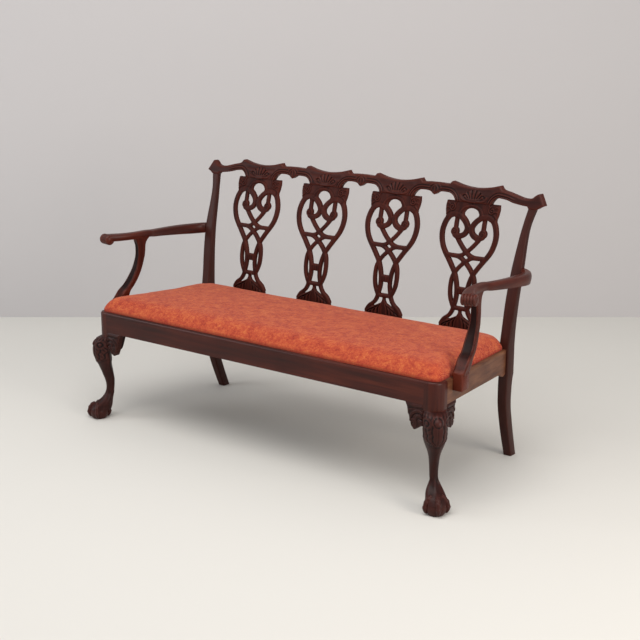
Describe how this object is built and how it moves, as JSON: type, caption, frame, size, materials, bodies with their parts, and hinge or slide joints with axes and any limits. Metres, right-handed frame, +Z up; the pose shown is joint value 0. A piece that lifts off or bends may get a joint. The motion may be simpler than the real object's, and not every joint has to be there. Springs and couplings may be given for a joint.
{
  "type": "chair-back settee",
  "caption": "Long carved wooden settee with pierced chair backs, open scrolled arms, claw-and-ball front feet and a loose upholstered seat.",
  "frame": {"origin": "on the floor, under the middle of the settee's width and depth", "axes": "+X to the sitter's left along the length, +Y to the back, +Z up"},
  "size_m": [1.7136, 0.7322, 0.971],
  "materials": {
    "mahogany": "satin, dark reddish brown",
    "plain_wood": "plain, unpolished",
    "steel": "plain",
    "webbing": "woven jute",
    "padding": "felted stuffing",
    "cover_cloth": "orange-red woven pile",
    "dust_cloth": "thin black cloth"
  },
  "bodies": {
    "frame": {"front_rail": "mahogany", "back_rail": "plain_wood", "side_rail_left": "mahogany", "side_rail_right": "mahogany", "front_leg_left": "mahogany", "front_leg_right": "mahogany", "rear_post_left": "mahogany", "rear_post_right": "mahogany", "knee_block_front_left": "mahogany", "knee_block_front_right": "mahogany", "knee_block_side_left": "mahogany", "knee_block_side_right": "mahogany", "crest_rail": "mahogany", "splat_1": "mahogany", "splat_2": "mahogany", "splat_3": "mahogany", "splat_4": "mahogany", "shoe_1": "mahogany", "shoe_2": "mahogany", "shoe_3": "mahogany", "shoe_4": "mahogany", "arm_left": "mahogany", "arm_right": "mahogany", "arm_support_left": "mahogany", "arm_support_right": "mahogany", "corner_block_front_left": "plain_wood", "corner_block_front_right": "plain_wood", "corner_block_rear_left": "plain_wood", "corner_block_rear_right": "plain_wood", "seat_brace_left": "plain_wood", "seat_brace_right": "plain_wood", "corner_block_screws": "steel", "arm_support_screws": "steel", "arm_screws": "steel"},
    "slip_seat": {"seat_frame_front": "plain_wood", "seat_frame_back": "plain_wood", "seat_frame_left": "plain_wood", "seat_frame_right": "plain_wood", "seat_frame_bar_1": "plain_wood", "seat_frame_bar_2": "plain_wood", "seat_frame_bar_3": "plain_wood", "webbing": "webbing", "seat_pad": "padding", "seat_cover": "cover_cloth", "dust_cloth": "dust_cloth"}
  },
  "joints": [
    {"name": "seat_lift", "type": "slide", "parent": "frame", "child": "slip_seat", "axis": [0, 0, 1], "range_m": [0, 0.15]}
  ]
}
